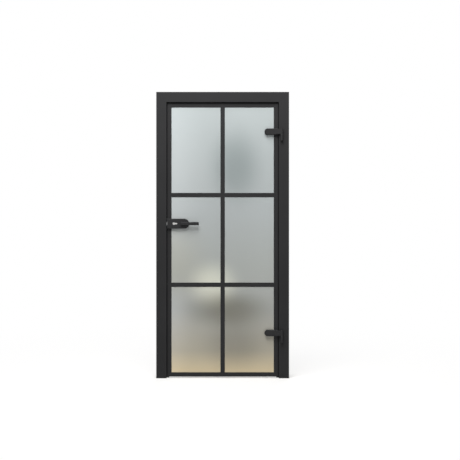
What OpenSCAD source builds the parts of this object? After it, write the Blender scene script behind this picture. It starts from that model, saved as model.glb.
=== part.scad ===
// Interior glass door: a satin glass leaf with a bonded black grid, hung on two clamp hinges
// in a rebated black frame with casings on both wall faces, with a lever lock on the free edge.
// Millimetres. X runs to the hinge side, Y away from the viewer, Z up.
// The origin lies on the floor, at the middle of the doorway, in the plane of the front wall face.

/* [Door leaf] */
// width of the glass leaf
leaf_w = 810; // [700:1:960]
// height of the glass leaf
leaf_h = 2000; // [1900:1:2200]
// thickness of the toughened glass
glass_t = 8; // [7:0.5:10]
// bevel ground on the glass edges
glass_arris = 0.8; // [0.4:0.1:1.5]
// width of the grid bars and of the border strips
bar_w = 30; // [20:1:40]
// thickness of a bonded bar
bar_t = 2; // [1.5:0.1:3]
// bevel along the free edges of a bar
bar_bevel = 0.5; // [0.2:0.1:0.8]
// gap between a bar and a fitting that it stops at
bar_gap = 0.5; // [0.2:0.1:1]

/* [Gaps round the leaf] */
// gap between the leaf and the rebate on either side
side_gap = 5; // [4:0.5:7]
// gap between the leaf and the rebate at the head
top_gap = 6; // [4:0.5:8]
// gap between the leaf and the floor
floor_gap = 10; // [5:1:15]
// depth left for the seal between the rear bars and the stop
seal_h = 4; // [3.5:0.1:6]
// gap between the seal and the closed leaf
seal_clear = 0.4; // [0.2:0.1:0.5]

/* [Frame] */
// width of the casings, front and rear
casing_w = 75; // [60:1:90]
// thickness of the casings
casing_t = 16; // [15:1:22]
// radius on the show edges of the casings
casing_r = 2; // [1:0.5:4]
// set-back of the glass behind the casing face
glass_set = 16; // [12:1:17]
// width of the stop that the leaf closes against
stop_w = 15; // [13:1:18]
// thickness of the lining boards
lining_t = 25; // [24:1:32]
// thickness of the wall that the frame lines
wall_t = 100; // [80:1:140]
// strip of lining left bare beside the rear casing
reveal = 5; // [3:1:7]
// open joint left at a mitre
mitre_gap = 0.2; // [0.1:0.1:0.5]
// thickness of the leg behind a front casing
leg_t = 10; // [9.5:0.5:12]
// thickness of the tongue on a front casing
tongue_t = 4; // [3:0.5:5]
// length of the tongue on a front casing
tongue_l = 8; // [6:1:12]
// thickness of the sliding tongue on a rear casing
slide_t = 6; // [5:0.5:7]
// length of the sliding tongue on a rear casing
slide_l = 30; // [20:1:35]
// depth of the groove for the sliding tongue
slide_d = 45; // [38:1:48]
// width of the shallow relief in the back of a rear casing
relief_w = 30; // [20:1:34]
// depth of that relief
relief_d = 2; // [1:0.5:3]
// distance of that relief from the back of the lining
relief_s = 6; // [4:1:10]
// diameter of the screws that hold the head on the jambs
corner_screw_d = 4.5; // [4:0.5:5]
// length of the screws that hold the head on the jambs
corner_screw_l = 70; // [60:5:90]
// distance of the first corner screw behind the stop
corner_screw_in = 16; // [12:1:20]
// distance between the two corner screws of a jamb
corner_screw_pitch = 17; // [14:1:20]
// play of a tongue in its groove, on each side
tongue_play = 0.3; // [0.2:0.1:0.5]
// room past a front casing's tongue in its groove
tongue_room = 1; // [0.5:0.5:2]
// distance of an upright tongue's end below the head lining
tongue_end = 1; // [0.5:0.5:3]

/* [Seal] */
// distance of the seal from the lining face
seal_s = 5.5; // [5:0.1:6]
// width of the seal groove
seal_groove_w = 3; // [2.5:0.1:3.5]
// depth of the seal groove
seal_groove_d = 6; // [6:0.5:8]
// wall of the hollow seal bulb
seal_wall = 0.9; // [0.6:0.1:1.2]
// gap between the seal's flat and the stop
seal_lift = 0.1; // [0.05:0.05:0.2]
// distance of an upright seal's foot from the floor
seal_foot = 0.5; // [0.3:0.1:2]
// gap between the upright seals and the seal at the head
seal_end = 0.3; // [0.2:0.1:0.5]
// distance of the seal's stem from the sides of its groove
stem_play = 0.6; // [0.5:0.05:0.7]
// distance of the barbs from the sides of the groove
barb_play = 0.15; // [0.1:0.05:0.3]
// distance of the stem's narrow end from the sides of the groove
stem_end_play = 0.7; // [0.6:0.05:0.9]
// place of the outer barb along the stem
barb_out = 2; // [1.5:0.1:2.2]
// length of the outer barb
barb_l = 1.2; // [1:0.1:1.5]
// place of the inner barb along the stem
barb_in = 3.8; // [3.7:0.1:4.2]
// length of the stem
stem_l = 5.4; // [5:0.1:5.6]

/* [Hinges] */
// height of the lower hinge above the foot of the leaf
hinge_rise = 320; // [250:1:400]
// distance of the upper hinge below the top of the leaf
hinge_drop = 209; // [150:1:300]
// half height of a hinge clamp, also the radius of its round end
clamp_r = 23; // [21:1:25]
// reach of a clamp over the glass
clamp_l = 99; // [92:1:110]
// thickness of the front clamp
clamp_t = 20; // [18:1:22]
// thickness of the rear clamp plate
plate_t = 12; // [10:1:14]
// edge radius of the front clamps
clamp_e = 4; // [2:0.5:4.5]
// edge radius of the rear clamp plates
plate_e = 3; // [1:0.5:3.5]
// distance of the hinge axis beyond the glass edge
axis_out = 25.5; // [24:0.5:28]
// set-back of a front clamp from the glass edge
clamp_in = 1; // [0.5:0.5:2]
// gap between a rear clamp plate and the side of the stop
plate_gap = 5; // [4:1:8]
// reach of the hinge arm over the clamp, from the glass edge
arm_root = 22; // [18:1:26]
// distance of the hinge arm's back from the gasket
arm_back = 6; // [4:0.5:8]
// set-back of the hinge arm from the clamp's upper and lower edge radius
arm_edge = 1; // [0.5:0.5:2]
// set-back of the hinge arm from the front and back of the knuckle
arm_skin = 0.5; // [0.3:0.1:1]
// length of the shallow last part of the arm's face, before the hinge axis
arm_nose = 4; // [3:0.5:6]
// set-back of the arm's face from the front of the knuckle where that part starts
arm_nose_in = 0.9; // [0.6:0.1:1.5]
// set-back of the arm's face from the clamp's face at its root
arm_root_in = 0.2; // [0.1:0.1:0.5]
// diameter of the hinge knuckles
knuckle_d = 20; // [19:1:24]
// clearance between the knuckles and the casing face
knuckle_gap = 1; // [0.8:0.1:2]
// height of the knuckle fixed to the frame
knuckle_h = 44; // [42:1:60]
// depth of the hinge pin in that knuckle
pin_in = 34; // [28:1:38]
// diameter of the hinge pin
pin_d = 10; // [8:0.5:11]
// bevel on the rims of the knuckles
knuckle_rim = 1; // [0.5:0.1:1.5]
// bevel on the rims of the pin
pin_rim = 0.8; // [0.4:0.1:1.2]
// metal left above the bush's bore in the clamp's knuckle
bush_top = 4; // [3:0.5:6]
// how much shorter the bush is than that bore
bush_end = 1; // [0.5:0.5:1.5]
// distance of the pin's end from the end of that bore
pin_end = 2; // [1:0.5:4]
// wall of the bush that the pin runs in
bush_wall = 2; // [1.5:0.5:2.5]
// thickness of the washer between the knuckles
washer_t = 1.5; // [1:0.5:3]
// set-back of the washer from the knuckle's rim
washer_in = 0.8; // [0.5:0.1:1.5]
// diameter of the pegs that carry the frame knuckle
peg_d = 8; // [6:0.5:9]
// half the distance between the two pegs of a knuckle
peg_off = 14; // [12:1:18]
// how much wider a peg is between the knuckle and the casing
peg_collar = 5; // [3:0.5:6]
// distance of a peg's end from the back of the receiver
peg_end = 2; // [1:0.5:4]
// thickness of the receiver's flange
receiver_t = 4; // [3:0.5:5]
// gap between the receiver and the lining
receiver_gap = 1; // [0.5:0.5:2]
// reach of the flange beyond the hinge axis
receiver_out = 31; // [29:1:34]
// length of the flange beyond the axis of a peg
receiver_end = 18; // [16:1:22]
// reach of the receiver's block beyond the hinge axis
block_out = 10; // [8:0.5:12]
// length of the block beyond the axis of a peg
block_end = 12; // [9:1:14]
// distance of the receiver's screws beyond the hinge axis
receiver_screw_out = 23; // [21:1:25]
// distance of a receiver screw beyond the axis of a peg
receiver_screw_end = 8; // [7:1:10]
// diameter of the receiver screws
receiver_screw_d = 4; // [3.5:0.5:4.5]
// length of the receiver screws
receiver_screw_l = 14; // [12:1:16]
// diameter of the holes in the glass
glass_hole_d = 14; // [12:0.5:16]
// diameter of the clamp screws
clamp_screw_d = 6; // [5:0.5:7]
// depth of a clamp screw in the front clamp
clamp_screw_in = 12; // [10:1:14]
// room past the end of a clamp screw in its bore
clamp_screw_room = 2; // [1:0.5:3]
// place of the inner clamp screw, as a share of the clamp's reach from its round end
bore_near = 0.343; // [0.33:0.001:0.36]
// place of the outer clamp screw, as a share of the clamp's reach from its round end
bore_far = 0.727; // [0.7:0.001:0.74]
// thickness of the gaskets on the glass
gasket_t = 1; // [0.5:0.1:1.5]
// set-back of a gasket from the edge of its fitting
gasket_in = 0.5; // [0.3:0.1:1]

/* [Lock] */
// height of the lock axis above the middle of the leaf
lock_rise = 119; // [60:1:140]
// length of the front cover from the glass edge
cover_l = 160; // [152:1:170]
// half height of the covers, also the radius of their round end
cover_r = 36; // [34:1:40]
// depth of a cover
cover_t = 17; // [15:1:20]
// wall of a cover
cover_wall = 3; // [2:0.5:3.5]
// edge radius of the covers
cover_e = 4; // [2:0.5:5]
// how much smaller the edge radius inside a cover is
cover_e_in = 1.5; // [1:0.1:1.9]
// set-back of the rear cover from the glass edge, clear of the stop
cover_back = 14; // [13:1:18]
// distance of the notch in the glass from the round end of the front cover
notch_end = 13; // [11:1:15]
// half height of the notch in the glass
notch_h = 28; // [27.5:0.5:29]
// radius of the inner corners of the notch
notch_r = 8; // [7.5:0.1:9]
// gap between the lock case and the end of the notch
notch_gap = 2; // [1.5:0.1:3]
// thickness of the lock case
case_t = 16; // [15:0.5:16.5]
// sheet thickness of the lock case
case_wall = 2; // [1.5:0.1:2]
// half height of the lock case
case_h = 27; // [26.5:0.1:27]
// radius of the inner corners of the lock case
case_r = 7.5; // [7:0.1:8]
// thickness of the face plate on the lock case
forend_t = 3; // [2:0.5:4]
// distance of the lever axis from the inner end of the lock case
hub_end = 37; // [34:0.5:38]
// distance of the two inner lock screws from the inner end of the case
lock_screw_end = 8; // [7:0.5:9]
// distance of those screws above and below the lock axis
lock_screw_up = 15; // [14:0.5:16]
// distance of the outer lock screw from the middle of the cylinder tail's round end
lock_screw_cyl = 8.5; // [8:0.5:9]
// distance of that screw below the lock axis
lock_screw_dn = 18; // [17:0.5:18.5]
// diameter of the lock screws
lock_screw_d = 4; // [3.5:0.5:4.5]
// wall left in the front cover before a lock screw's bore
lock_screw_skin = 1.5; // [1:0.5:2]
// diameter of the posts in the front cover
front_post_d = 9; // [8:0.5:10]
// diameter of the posts in the rear cover
rear_post_d = 11; // [10:0.5:12]
// depth of a cover's post in the wall of the cover
post_in = 0.5; // [0.3:0.1:1]
// diameter of the posts in the case
case_post_d = 8; // [7:0.5:8.5]
// distance of a case post's end from the rear face of the case
case_post_end = 0.5; // [0:0.1:1]
// place of the cylinder axis along the front cover, as a share of its length
cyl_share = 0.30625; // [0.29:0.00005:0.325]
// diameter of the round part of the cylinder hole
cyl_d = 17.5; // [17:0.1:18]
// width of the tail of the cylinder hole
cyl_w = 10.5; // [10:0.1:11]
// length of the cylinder hole
cyl_l = 33.5; // [33:0.1:34]

/* [Cylinder] */
// play of the cylinder in its hole, on each side
cyl_play = 0.25; // [0.2:0.01:0.3]
// distance that the cylinder stands out of a cover
cyl_out = 2; // [1:0.5:3]
// diameter of the plugs that the key turns
plug_d = 13; // [12.5:0.1:13.5]
// height of the keyway
key_h = 9; // [8:0.5:10]
// width of the keyway
key_w = 2.2; // [1.8:0.1:2.6]
// depth of the keyway
key_d = 14; // [10:1:16]
// set-back of a plug from the face of the cylinder
plug_in = 0.2; // [0.1:0.1:0.5]
// thickness of the cam between the plugs
cam_t = 8; // [7:0.5:9]
// diameter of the ring of the cam
cam_ring = 15.6; // [15:0.1:16]
// reach of the cam's finger from the cylinder axis
cam_r = 17; // [16.5:0.1:17.2]
// width of the cam's finger
cam_w = 6; // [5:0.5:6.5]
// angle of the finger from straight down, with the dead bolt drawn back
cam_rest = 24; // [22:1:25]
// diameter of the screw that holds the cylinder
cyl_screw_d = 4; // [3.5:0.5:4]
// reach of that screw beyond the lock axis
cyl_screw_in = 2.5; // [1.5:0.5:3]

/* [Latch and bolt] */
// thickness of the latch and of the dead bolt
bolt_t = 10; // [9:0.1:10.4]
// reach of the latch beyond the glass edge
latch_out = 15; // [13:0.5:16]
// top of the latch above the lock axis
latch_up = 12; // [11:0.5:12]
// foot of the latch below the lock axis
latch_dn = 10; // [9:0.5:10]
// length of the latch head behind the glass edge
latch_head = 20; // [18:1:22]
// length of the bevel on the latch head
latch_bevel = 9; // [8:0.5:12]
// flat left at the tip of the latch
latch_tip = 3; // [2:0.5:4]
// distance of the latch's riser from the glass edge
riser_in = 7; // [6:0.5:10]
// reach of the latch tail above the follower arm's end
tail_up = 2; // [1:0.5:3]
// reach of the latch tail below the follower arm's end
tail_dn = 4; // [3:0.5:5]
// distance of the latch tail's bar behind the middle of the case
tail_back = 1.2; // [1:0.1:2]
// play between the follower arm and the block on the latch tail
tail_play = 0.5; // [0.3:0.1:1]
// top of the dead bolt below the lock axis
bolt_up = 14; // [13.5:0.1:14.5]
// foot of the dead bolt below the lock axis
bolt_dn = 23.5; // [22:0.5:24]
// length of the block on the latch tail that the follower arm pushes
tail_t = 4; // [3:0.5:4.5]
// radius at which the follower arm meets the latch tail
arm_r = 18; // [17.5:0.1:18.5]
// diameter of the follower's hub
follower_d = 22; // [20:0.5:24]
// diameter of the follower's journals in the case
journal_d = 16; // [15:0.5:18]
// play of the follower between the sheets of the case
follower_play = 0.4; // [0.2:0.1:0.6]
// width of the follower arm at the hub
follower_arm_w = 9; // [8:0.5:10]
// radius of the follower arm's end
follower_tip_r = 3; // [2.5:0.1:3.2]
// set-back of the arm's flanks from that radius
follower_tip_in = 0.1; // [0:0.05:0.2]
// reach of the follower arm behind the middle of the case
follower_arm_back = 0.6; // [0.2:0.1:0.8]
// travel of the dead bolt
bolt_throw = 14; // [13:0.5:14.5]
// set-back of the drawn dead bolt from the glass edge
bolt_in = 0.5; // [0.3:0.1:1]
// width of the notch that the cam works in
bolt_notch_w = 8.8; // [8.6:0.1:9]
// depth of that notch
bolt_notch_d = 4; // [3.6:0.1:4.5]
// length of the dead bolt past its notch
bolt_tail = 4; // [3:0.5:5]
// play of the bolts in the openings they slide through
bolt_play = 0.3; // [0.2:0.1:0.5]
// thickness of the strike plate
strike_t = 2; // [1.5:0.5:3]
// width of the strike plate
strike_w = 18; // [17:1:20]
// length of the strike plate
strike_l = 90; // [80:1:110]
// distance of the strike plate's middle line in front of the bolts
strike_shift = 1; // [0:0.5:2]
// distance of the strike plate's openings from the outer faces of the box
strike_lip = 1.6; // [1.4:0.1:2]
// play of the bolts in those openings, above and below
strike_play = 1; // [0.5:0.1:1.2]
// diameter of the strike screws
strike_screw_d = 3.5; // [3:0.5:4]
// length of the strike screws
strike_screw_l = 10; // [9:1:12]
// depth of the dust box behind the strike plate
box_d = 20; // [14:1:24]
// wall of the dust box
box_wall = 1.2; // [0.8:0.1:1.5]
// distance of the box's front face from the bolts
box_front = 2.6; // [2.4:0.1:3]
// distance of the box's other outer faces from the bolts
box_room = 3; // [2.5:0.5:4]

/* [Levers] */
// height of the lever bar
lever_h = 23; // [20:0.5:26]
// thickness of the lever bar
lever_t = 12; // [11:0.5:15]
// gap between the lever bar and the cover face
lever_gap = 3; // [2:0.5:8]
// reach of the lever from its axis to its tip
lever_l = 123; // [110:1:135]
// radius along the upper and lower edges of the lever bar
lever_e = 3.5; // [2:0.5:5]
// radius that turns the lever bar's ends back toward the door
lever_end = 9; // [6:0.5:10]
// radius of the lever bar's corners, seen from the front
lever_corner = 6; // [4:0.5:8]
// diameter of the neck that a lever turns on
neck_d = 20; // [18:0.5:21]
// wall of the bush that a lever turns in
lever_bush = 2.5; // [1.5:0.5:3]
// distance that this bush stands out of the cover
lever_bush_out = 1; // [0.5:0.5:1.5]
// side of the square spindle
spindle_a = 8; // [7:0.5:9]
// wall left in a lever in front of the spindle
socket_wall = 3; // [2:0.5:4]
// play at each end of the spindle
spindle_play = 0.5; // [0.3:0.1:1]
// reach of a lever's neck and bush behind the wall of the cover
neck_in = 4; // [3:0.5:5]
// diameter of the grub screws
grub_d = 5; // [4:0.5:6]
// set-back of a grub screw from the edge of the lever
grub_in = 1; // [0.5:0.5:2]
// size of the socket in a grub screw
grub_socket = 2.6; // [2:0.1:3]
// depth of that socket
grub_socket_l = 2.5; // [2:0.5:3]

/* [Fits] */
// radial clearance of the parts that turn in each other
run_fit = 0.05; // [0.03:0.01:0.08]
// radial clearance of the parts that are fixed in each other
set_fit = 0.03; // [0.02:0.01:0.06]
// gap beside a part that lies loosely in a cut-out
part_gap = 0.3; // [0.2:0.1:0.4]
// gap beside a part that lies closely in a cut-out
close_gap = 0.2; // [0.1:0.1:0.3]
// gap round a plate that is let in flush
flush_gap = 0.1; // [0.05:0.05:0.2]
// room past the end of a screw
screw_room = 0.5; // [0.3:0.1:1]

/* [Driver sockets] */
// width of the socket in the strike screws
socket_s = 2; // [1.5:0.1:2.5]
// width of the socket in the receiver screws and the cylinder screw
socket_m = 2.2; // [2:0.1:2.5]
// width of the socket in the lock screws and the corner screws
socket_l = 2.5; // [2:0.1:3]
// width of the socket in the clamp screws
socket_xl = 4; // [3:0.5:4.5]

/* [Hidden] */
$fn = 48;
edge_l = -leaf_w / 2;
edge_h = leaf_w / 2;
leaf_z0 = floor_gap;
leaf_z1 = floor_gap + leaf_h;
rb_x = leaf_w / 2 + side_gap;
rb_z = leaf_z1 + top_gap;
out_x = rb_x + casing_w;
out_z = rb_z + casing_w;
ln_x = rb_x - stop_w;
ln_z = rb_z - stop_w;
lo_x = ln_x + lining_t;
lo_z = ln_z + lining_t;
glass_y0 = glass_set - casing_t;
glass_y1 = glass_y0 + glass_t;
stop_y = glass_y1 + bar_t + seal_h;
pad_y0 = glass_y0 - gasket_t;
pad_y1 = glass_y1 + gasket_t;
tongue_s = stop_w + (leg_t - tongue_t) / 2;
slide_s = lining_t / 2 - slide_t / 2;
bulb_r = seal_h - seal_clear;
hinge_lo = leaf_z0 + hinge_rise;
hinge_hi = leaf_z1 - hinge_drop;
axis_x = edge_h + axis_out;
axis_y = -casing_t - knuckle_gap - knuckle_d / 2;
bush_d = pin_d + 2 * bush_wall;
bore_x = [edge_h - clamp_l * (1 - bore_near), edge_h - clamp_l * (1 - bore_far)];
plate_end = ln_x - plate_gap;
lock_z = (leaf_z0 + leaf_z1) / 2 + lock_rise;
notch_l = cover_l - notch_end;
case_y1 = glass_y1 + bar_t;
case_y0 = case_y1 - case_t;
case_yc = (case_y0 + case_y1) / 2;
case_x0 = edge_l + forend_t;
case_x1 = edge_l + notch_l - notch_gap;
hub_x = case_x1 - hub_end;
cyl_x = edge_l + cover_l * cyl_share;
cyl_tail = cyl_l - cyl_d / 2 - cyl_w / 2;
cover_y0 = pad_y0 - cover_t;
cover_y1 = pad_y1 + cover_t;
mid_y = (cover_y0 + cover_y1) / 2;
cyl_y0 = cover_y0 - cyl_out;
cyl_y1 = cover_y1 + cyl_out;
lever_bush_d = neck_d + 2 * lever_bush;
bar_x0 = hub_x - lever_h / 2;
bar_x1 = hub_x + lever_l;
bar_y0 = cover_y0 - lever_gap - lever_t;
bar_y1 = cover_y0 - lever_gap;
grub_y = (bar_y0 + bar_y1) / 2;
lock_bolts = [
  [cyl_x + cyl_tail + lock_screw_cyl, -lock_screw_dn],
  [case_x1 - lock_screw_end, lock_screw_up],
  [case_x1 - lock_screw_end, -lock_screw_up]
];
pane_h = (leaf_h - 4 * bar_w) / 3;
cross_lo = leaf_z0 + 1.5 * bar_w + pane_h;
cross_hi = leaf_z1 - 1.5 * bar_w - pane_h;
strike_y = case_yc - strike_shift;
box_y0 = case_yc - bolt_t / 2 - box_front;
box_y1 = case_yc + bolt_t / 2 + box_room;
box_z0 = lock_z - bolt_dn - box_room;
box_z1 = lock_z + latch_up + box_room;

// colours of the preview
rubber_black = [0.03, 0.03, 0.03];
gasket_black = [0.04, 0.04, 0.04];
fitting_black = [0.05, 0.05, 0.05];
frame_black = [0.06, 0.06, 0.06];
bar_black = [0.07, 0.07, 0.07];
screw_black = [0.08, 0.08, 0.08];
dark_steel = [0.1, 0.1, 0.1];
zinc_steel = [0.6, 0.6, 0.62];
receiver_steel = [0.62, 0.62, 0.64];
follower_steel = [0.65, 0.65, 0.66];
plug_nickel = [0.66, 0.65, 0.6];
cylinder_nickel = [0.7, 0.69, 0.66];
bright_steel = [0.7, 0.7, 0.72];
bolt_steel = [0.72, 0.72, 0.74];
satin_glass = [0.72, 0.75, 0.75];
pale_nylon = [0.85, 0.85, 0.83];

// box between two corners
module slab(x0, x1, y0, y1, z0, z1) {
  translate([x0, y0, z0]) cube([x1 - x0, y1 - y0, z1 - z0]);
}

// outline drawn in X and Z, carried through the depth from y0 to y1
module through(y0, y1) {
  translate([0, y1, 0]) rotate([90, 0, 0]) linear_extrude(y1 - y0) children();
}

// section drawn in distance from the lining face and Y, carried up a jamb
module up(z0, z1) {
  translate([ln_x, 0, z0]) linear_extrude(z1 - z0) children();
}

// the same section carried across the head
module across(half) {
  translate([0, 0, ln_z]) rotate([0, -90, 0]) linear_extrude(2 * half, center = true) children();
}

// cylinder along Y between two depths
module rod_y(x, z, d, y0, y1) {
  translate([x, y1, z]) rotate([90, 0, 0]) cylinder(d = d, h = y1 - y0);
}

// rectangle whose two corners on y = 0 are rounded
module edge_rounded(w, h, r) {
  translate([0, r]) square([w, h - r]);
  translate([r, 0]) square([w - 2 * r, h]);
  for (x = [r, w - r]) translate([x, r]) circle(r);
}

// countersunk screw with its head's top at z = 0 and its shank down the Z axis
module cs_screw(d, len, socket) {
  difference() {
    union() {
      translate([0, 0, -len]) cylinder(d = d, h = len - 0.1);
      translate([0, 0, -d / 2]) cylinder(d1 = d, d2 = 2 * d, h = d / 2);
    }
    translate([0, 0, -d / 2]) cylinder(d = socket, h = d, $fn = 6);
  }
}

// hole that seats the screw
module cs_hole(d, len, fit) {
  translate([0, 0, -len]) cylinder(d = d + 2 * fit, h = len + 1);
  translate([0, 0, -d / 2]) cylinder(d1 = d + 2 * fit, d2 = 2 * d + 2 * fit, h = d / 2);
  cylinder(d = 2 * d + 2 * fit, h = 1);
}

// section of a rounded pad: flat foot on y = 0, outer edges rounded
module pad_section(w, t, e) {
  translate([-w / 2, 0]) square([w, t - e]);
  translate([-w / 2 + e, 0]) square([w - 2 * e, t]);
  for (x = [-1, 1]) translate([x * (w / 2 - e), t - e]) circle(e);
}

// pad with a flat end at x = 0 and a round end at x = l, rising from y = 0 toward -Y
module pad(l, r, t, e) {
  rotate([180, 0, 0]) rotate([0, 90, 0]) linear_extrude(l - r) pad_section(2 * r, t, e);
  translate([l - r, 0, 0]) rotate([0, 90, 0]) rotate([90, 0, 0])
    rotate_extrude(angle = 180) intersection() {
      pad_section(2 * r, t, e);
      square([r, t]);
    }
}

// outline of that pad in X and Z
module pad_outline(l, r) {
  translate([0, -r]) square([l - r, 2 * r]);
  translate([l - r, 0]) circle(r);
}

// Frame

// lining board with its grooves for the seal and for the two casings
module lining_section() {
  difference() {
    translate([0, stop_y]) square([lining_t, wall_t - stop_y]);
    translate([seal_s - seal_groove_w / 2, stop_y - 1]) square([seal_groove_w, seal_groove_d + 1]);
    translate([tongue_s - tongue_play, stop_y - 1])
      square([tongue_t + 2 * tongue_play, tongue_l + tongue_room + 1]);
    translate([slide_s - tongue_play, wall_t - slide_d])
      square([slide_t + 2 * tongue_play, slide_d + 1]);
  }
}

// the four screws that hold the head on the jambs, at their places
module corner_places() {
  first = stop_y + corner_screw_in;
  for (sx = [-1, 1], y = [first, first + corner_screw_pitch])
    translate([sx * (ln_x + lining_t / 2), y, lo_z]) children();
}

module jamb_lining() {
  up(0, ln_z) lining_section();
}

module strike_lining() {
  color(frame_black) difference() {
    mirror([1, 0, 0]) jamb_lining();
    corner_places() cs_hole(corner_screw_d, corner_screw_l + screw_room, set_fit);
  }
}

module hinge_lining() {
  color(frame_black) difference() {
    jamb_lining();
    corner_places() cs_hole(corner_screw_d, corner_screw_l + screw_room, set_fit);
  }
}

module head_lining() {
  color(frame_black) difference() {
    across(lo_x) lining_section();
    corner_places() cs_hole(corner_screw_d, corner_screw_l + screw_room, set_fit);
  }
}

module corner_screws() {
  color(zinc_steel) corner_places() cs_screw(corner_screw_d, corner_screw_l, socket_l);
}

// face and leg of a front casing; the leg makes the side of the rebate
module front_section() {
  translate([stop_w, -casing_t]) edge_rounded(casing_w, casing_t, casing_r);
  translate([stop_w, -1]) square([leg_t, stop_y + 1]);
}

module front_upright() {
  intersection() {
    up(0, out_z) front_section();
    through(-casing_t - 1, stop_y + 1)
      polygon([[rb_x, 0], [out_x, 0], [out_x, out_z - mitre_gap], [rb_x, rb_z - mitre_gap]]);
  }
  slab(ln_x + tongue_s, ln_x + tongue_s + tongue_t, stop_y - 1, stop_y + tongue_l, 0, ln_z - tongue_end);
}

// strike plate outline in Y and Z
module strike_outline(grow) {
  r = strike_w / 2 + grow;
  translate([strike_y - r, lock_z - strike_l / 2 + strike_w / 2])
    square([2 * r, strike_l - strike_w]);
  for (s = [-1, 1]) translate([strike_y, lock_z + s * (strike_l - strike_w) / 2]) circle(r);
}

// outline drawn in Y and Z, carried along X from x0 to x1
module along(x0, x1) {
  translate([x0, 0, 0]) rotate([90, 0, 90]) linear_extrude(x1 - x0) children();
}

module strike_screw_places() {
  for (s = [-1, 1])
    translate([-rb_x, strike_y, lock_z + s * (strike_l - strike_w) / 2]) rotate([0, 90, 0]) children();
}

module front_casing_strike() {
  color(frame_black) difference() {
    mirror([1, 0, 0]) front_upright();
    along(-rb_x - strike_t, -rb_x + 1) strike_outline(flush_gap);
    slab(-rb_x - strike_t - box_d - part_gap, -rb_x, box_y0 - close_gap, box_y1 + close_gap,
      box_z0 - close_gap, box_z1 + close_gap);
    strike_screw_places() cs_hole(strike_screw_d, strike_screw_l + screw_room, set_fit);
  }
}

// height of the middle of the frame's knuckle, given the height of the hinge
function knuckle_mid(hz) = hz - clamp_r - washer_t - knuckle_h / 2;

// places of a hinge's two pegs
module peg_places(hz) {
  for (s = [-1, 1])
    translate([axis_x, 0, knuckle_mid(hz) + s * peg_off]) children();
}

module front_casing_hinge() {
  color(frame_black) difference() {
    front_upright();
    for (hz = [hinge_lo, hinge_hi]) {
      peg_places(hz) rod_y(0, 0, peg_d + 2 * run_fit, -casing_t - 1, 1);
      receiver_screw_places(hz) cs_hole(receiver_screw_d, receiver_screw_l + screw_room, set_fit);
    }
  }
}

module front_casing_head() {
  color(frame_black) {
    intersection() {
      across(out_x) front_section();
      through(-casing_t - 1, stop_y + 1)
        polygon([[-rb_x, rb_z], [rb_x, rb_z], [out_x, out_z], [-out_x, out_z]]);
    }
    slab(-rb_x, rb_x, stop_y - 1, stop_y + tongue_l, ln_z + tongue_s, ln_z + tongue_s + tongue_t);
  }
}

// face of a rear casing, with a relief in its back so that it lies well on an uneven wall
module rear_section() {
  difference() {
    translate([reveal, wall_t + casing_t]) mirror([0, 1]) edge_rounded(casing_w, casing_t, casing_r);
    translate([lining_t + relief_s, wall_t - 1]) square([relief_w, relief_d + 1]);
  }
}

module rear_upright() {
  x0 = ln_x + reveal;
  z0 = ln_z + reveal;
  intersection() {
    up(0, z0 + casing_w) rear_section();
    through(wall_t - 1, wall_t + casing_t + 1)
      polygon([
        [x0, 0], [x0 + casing_w, 0], [x0 + casing_w, z0 + casing_w - mitre_gap], [x0, z0 - mitre_gap]
      ]);
  }
  slab(ln_x + slide_s, ln_x + slide_s + slide_t, wall_t - slide_l, wall_t + 1, 0, ln_z - tongue_end);
}

module rear_casing_strike() {
  color(frame_black) mirror([1, 0, 0]) rear_upright();
}

module rear_casing_hinge() {
  color(frame_black) rear_upright();
}

module rear_casing_head() {
  x0 = ln_x + reveal;
  z0 = ln_z + reveal;
  color(frame_black) {
    intersection() {
      across(x0 + casing_w) rear_section();
      through(wall_t - 1, wall_t + casing_t + 1)
        polygon([[-x0, z0], [x0, z0], [x0 + casing_w, z0 + casing_w], [-x0 - casing_w, z0 + casing_w]]);
    }
    slab(-ln_x, ln_x, wall_t - slide_l, wall_t + 1, ln_z + slide_s, ln_z + slide_s + slide_t);
  }
}

// hollow bulb of the seal, its flat close to the stop
module bulb_section() {
  translate([seal_s, stop_y - seal_lift]) difference() {
    intersection() {
      circle(bulb_r);
      translate([-bulb_r, -bulb_r]) square([2 * bulb_r, bulb_r]);
    }
    intersection() {
      circle(bulb_r - seal_wall);
      translate([-bulb_r, -bulb_r - seal_wall]) square([2 * bulb_r, bulb_r]);
    }
  }
}

// bulb and barbed stem of the seal
module seal_section() {
  w = seal_groove_w / 2;
  stem = w - stem_play;
  barb = w - barb_play;
  tip = w - stem_end_play;
  back = barb_out + barb_l;
  bulb_section();
  translate([seal_s, stop_y - 2 * seal_lift]) polygon([
    [-stem, 0], [stem, 0], [stem, barb_out], [barb, barb_out], [stem, back], [stem, barb_in],
    [barb, barb_in], [tip, stem_l], [-tip, stem_l], [-barb, barb_in], [-stem, barb_in],
    [-stem, back], [-barb, barb_out], [-stem, barb_out]
  ]);
}

module jamb_seal() {
  up(seal_foot, ln_z - seal_end) seal_section();
  up(ln_z - seal_end, ln_z + seal_s - bulb_r - seal_end) bulb_section();
}

module seal_strike() {
  color(rubber_black) mirror([1, 0, 0]) jamb_seal();
}

module seal_hinge() {
  color(rubber_black) jamb_seal();
}

module seal_head() {
  color(rubber_black) across(ln_x + seal_s + bulb_r) seal_section();
}

module strike_plate() {
  p = strike_play;
  x = -rb_x - strike_t;
  y0 = box_y0 + strike_lip;
  y1 = box_y1 - strike_lip;
  color(bright_steel) difference() {
    along(x, -rb_x) strike_outline(0);
    slab(x - 1, -rb_x + 1, y0, y1, lock_z - latch_dn - p, lock_z + latch_up + p);
    slab(x - 1, -rb_x + 1, y0, y1, lock_z - bolt_dn - p, lock_z - bolt_up + p);
    strike_screw_places() cs_hole(strike_screw_d, strike_screw_l + screw_room, set_fit);
  }
}

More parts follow.
